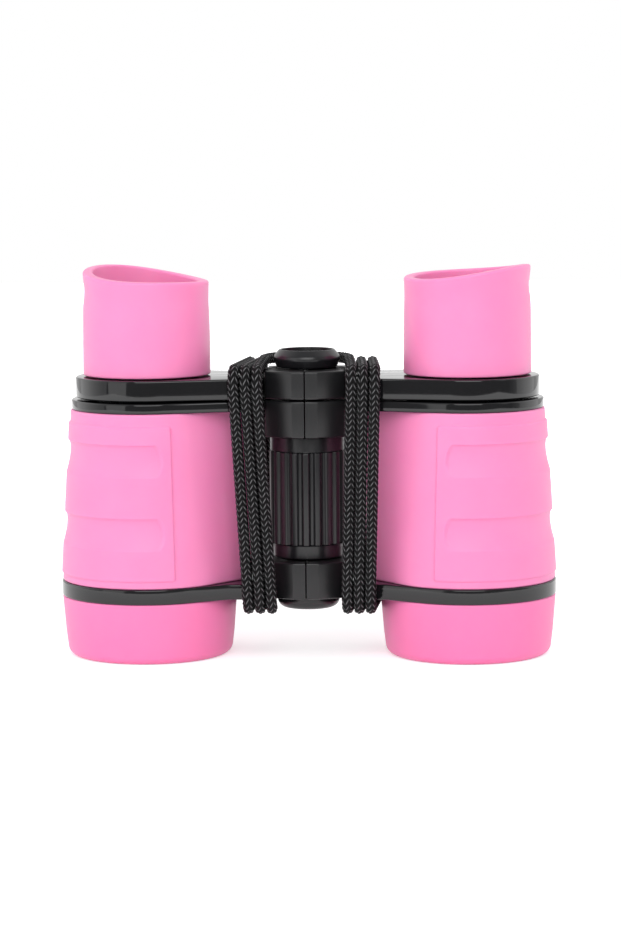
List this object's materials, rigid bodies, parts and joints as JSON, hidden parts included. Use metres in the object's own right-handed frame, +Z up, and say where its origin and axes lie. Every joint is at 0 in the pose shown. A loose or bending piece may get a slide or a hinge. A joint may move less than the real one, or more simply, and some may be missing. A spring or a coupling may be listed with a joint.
{
  "type": "toy binoculars",
  "caption": "Pink and black children's field binoculars with rubber eyecups and hoods, a folding bridge, a ribbed centre focus wheel and a braided neck cord wound round the bridge.",
  "frame": {"origin": "middle of the footprint, on the surface that the hoods stand on; the hinge axis is the Z axis", "axes": "+Z up along the barrels toward the eyepieces, +X toward the right barrel, -Y toward the pictured front"},
  "size_m": [0.1132, 0.0402, 0.0887],
  "materials": {
    "black_shell": "moulded ABS, glossy black",
    "black_wheel": "moulded ABS, satin black",
    "black_ring": "moulded ABS, dull black inside the optics",
    "pink_armour": "thermoplastic rubber sleeve, satin pink",
    "pink_hood": "thermoplastic rubber hood, satin pink",
    "pink_rubber": "soft rubber eyecup, dull pink",
    "lens_glass": "clear moulded lens",
    "steel_screws": "plated steel",
    "black_cord": "braided polyester cord"
  },
  "bodies": {
    "left_half": {"left_barrel": "black_shell", "left_armour": "pink_armour", "left_top_plate": "black_shell", "left_plate_screws": "steel_screws", "left_objective_hood": "pink_hood", "left_objective_lens": "lens_glass", "left_retaining_ring": "black_ring", "hinge_cap": "black_wheel", "left_strap_winding": "black_cord", "left_strap_knot": "black_cord"},
    "right_half": {"right_barrel": "black_shell", "right_armour": "pink_armour", "right_top_plate": "black_shell", "right_plate_screws": "steel_screws", "right_objective_hood": "pink_hood", "right_objective_lens": "lens_glass", "right_retaining_ring": "black_ring", "right_strap_winding": "black_cord", "right_strap_knot": "black_cord"},
    "left_eyepiece": {"left_eyepiece_arm": "black_shell", "left_eyepiece_tube": "black_ring", "left_ocular_lens": "lens_glass", "left_ocular_ring": "black_ring", "focus_screw": "steel_screws", "top_cap": "black_wheel", "cap_screw": "steel_screws"},
    "right_eyepiece": {"right_eyepiece_arm": "black_shell", "right_eyepiece_tube": "black_ring", "right_ocular_lens": "lens_glass", "right_ocular_ring": "black_ring"},
    "left_cup": {"left_eyecup": "pink_rubber"},
    "right_cup": {"right_eyecup": "pink_rubber"},
    "wheel": {"focus_wheel": "black_wheel"}
  },
  "joints": [
    {"name": "fold", "type": "hinge", "parent": "left_half", "child": "right_half", "pos_m": [0, 0, 0.03], "axis": [0, 0, 1], "range_deg": [0, 65]},
    {"name": "focus_turn", "type": "hinge", "parent": "left_half", "child": "wheel", "pos_m": [0, 0, 0.036], "axis": [0, 0, 1], "range_deg": [-360, 0]},
    {"name": "left_focus", "type": "slide", "parent": "left_half", "child": "left_eyepiece", "axis": [0, 0, 1], "range_m": [0, 0.006], "deforming": ["left_strap_winding"]},
    {"name": "right_focus", "type": "slide", "parent": "right_half", "child": "right_eyepiece", "axis": [0, 0, 1], "range_m": [0, 0.006], "deforming": ["right_strap_winding"]},
    {"name": "left_cup_turn", "type": "hinge", "parent": "left_eyepiece", "child": "left_cup", "pos_m": [-0.0365, 0, 0.072], "axis": [0, 0, 1], "continuous": true},
    {"name": "right_cup_turn", "type": "hinge", "parent": "right_eyepiece", "child": "right_cup", "pos_m": [0.0365, 0, 0.072], "axis": [0, 0, 1], "continuous": true}
  ],
  "couplings": [
    {"joint": "right_focus", "follows": "left_focus", "ratio": 1},
    {"joint": "focus_turn", "follows": "left_focus", "rad_per_m": -1045}
  ]
}
